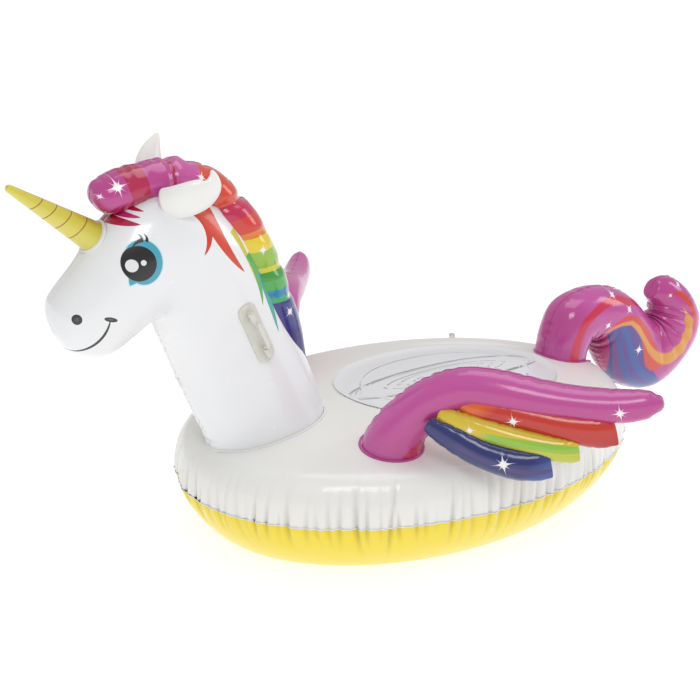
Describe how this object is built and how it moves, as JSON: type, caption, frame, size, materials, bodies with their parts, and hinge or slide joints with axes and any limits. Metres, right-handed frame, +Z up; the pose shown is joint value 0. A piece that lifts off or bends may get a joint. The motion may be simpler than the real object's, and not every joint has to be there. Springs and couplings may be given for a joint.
{
  "type": "inflatable pool float",
  "caption": "Inflatable ride-on pool float: oval hull with a seat, horse head with horn and wavy mane, feathered wings, curled tail, grab handles and air valves.",
  "frame": {"origin": "middle of the flat of the hull's underside, where the float rests on the ground", "axes": "+Z up; -X forwards, the way the head points; -Y to the animal's left, so +Y to its right"},
  "size_m": [2.0226, 1.4264, 0.9634],
  "materials": {
    "white_film": "inflated glossy vinyl film, softly puckered along its welds",
    "seat_film": "cooler white vinyl film with a faint pressed grain",
    "yellow_film": "glossy yellow vinyl film",
    "horn_film": "glossy yellow vinyl with printed brown rings",
    "pink_film": "glossy printed vinyl, magenta pink",
    "mane_film": "glossy vinyl printed in rainbow bands",
    "tail_film": "glossy vinyl printed with flowing stripes",
    "red_film": "glossy vinyl, printed red",
    "lime_film": "glossy vinyl, printed yellow to green",
    "navy_film": "glossy vinyl, printed dark blue",
    "weld_film": "pressed welded edge of the film",
    "clear_vinyl": "soft moulded milky vinyl"
  },
  "bodies": {
    "float": {"hull_top_panel": "white_film", "hull_bottom_panel": "yellow_film", "perimeter_weld": "weld_film", "seat_panel": "seat_film", "seat_weld": "weld_film", "seat_web_1": "white_film", "seat_web_2": "white_film", "seat_web_3": "white_film", "seat_web_4": "white_film", "head_left_panel": "white_film", "head_right_panel": "white_film", "head_centre_weld": "weld_film", "neck_base_weld": "weld_film", "horn_cone": "horn_film", "horn_root_weld": "weld_film", "mane_left_panel": "mane_film", "mane_right_panel": "mane_film", "ear_left": "white_film", "ear_right": "white_film", "handle_left_patch": "clear_vinyl", "handle_right_patch": "clear_vinyl", "hull_valve_flange": "clear_vinyl", "neck_valve_flange": "clear_vinyl", "wing_left_root": "pink_film", "wing_left_root_weld": "weld_film", "wing_right_root": "pink_film", "wing_right_root_weld": "weld_film", "tail_left_root": "tail_film", "tail_right_root": "tail_film", "tail_root_weld": "weld_film"},
    "wing_left": {"wing_left_spar": "pink_film", "wing_left_red_feather": "red_film", "wing_left_yellow_feather": "lime_film", "wing_left_blue_feather": "navy_film"},
    "grip_left": {"handle_left_grip": "clear_vinyl"},
    "wing_right": {"wing_right_spar": "pink_film", "wing_right_red_feather": "red_film", "wing_right_yellow_feather": "lime_film", "wing_right_blue_feather": "navy_film"},
    "grip_right": {"handle_right_grip": "clear_vinyl"},
    "tail": {"tail_left_panel": "tail_film", "tail_right_panel": "tail_film"},
    "hull_stem": {"hull_valve_stem": "clear_vinyl", "hull_valve_flap": "clear_vinyl", "hull_valve_tether": "clear_vinyl"},
    "hull_plug": {"hull_valve_plug": "clear_vinyl"},
    "neck_stem": {"neck_valve_stem": "clear_vinyl", "neck_valve_flap": "clear_vinyl", "neck_valve_tether": "clear_vinyl"},
    "neck_plug": {"neck_valve_plug": "clear_vinyl"}
  },
  "joints": [
    {"name": "wing_left_flex", "type": "hinge", "parent": "float", "child": "wing_left", "pos_m": [-0.238, -0.255, 0.293], "axis": [-0.7861, -0.6181, 0], "range_deg": [-5, 10], "stiffness_Nm_per_rad": 90},
    {"name": "wing_right_flex", "type": "hinge", "parent": "float", "child": "wing_right", "pos_m": [-0.238, 0.255, 0.293], "axis": [0.7861, -0.6181, 0], "range_deg": [-5, 10], "stiffness_Nm_per_rad": 90},
    {"name": "tail_sway", "type": "hinge", "parent": "float", "child": "tail", "pos_m": [0.38, 0, 0.288], "axis": [1, 0, 0], "range_deg": [-8, 8], "stiffness_Nm_per_rad": 60},
    {"name": "grip_left_swing", "type": "hinge", "parent": "float", "child": "grip_left", "pos_m": [-0.484, -0.108, 0.543], "axis": [0.3903, 0, -0.9207], "range_deg": [-55, 55], "stiffness_Nm_per_rad": 0.02},
    {"name": "grip_right_swing", "type": "hinge", "parent": "float", "child": "grip_right", "pos_m": [-0.484, 0.108, 0.543], "axis": [0.3903, 0, -0.9207], "range_deg": [-55, 55], "stiffness_Nm_per_rad": 0.02},
    {"name": "hull_stem_push", "type": "slide", "parent": "float", "child": "hull_stem", "axis": [0.4099, 0.6298, 0.6598], "range_m": [-0.014, 0]},
    {"name": "hull_plug_pull", "type": "slide", "parent": "hull_stem", "child": "hull_plug", "axis": [0.4099, 0.6298, 0.6598], "range_m": [0, 0.014]},
    {"name": "neck_stem_push", "type": "slide", "parent": "float", "child": "neck_stem", "axis": [0, 0.9929, 0.1191], "range_m": [-0.014, 0]},
    {"name": "neck_plug_pull", "type": "slide", "parent": "neck_stem", "child": "neck_plug", "axis": [0, 0.9929, 0.1191], "range_m": [0, 0.014]}
  ]
}
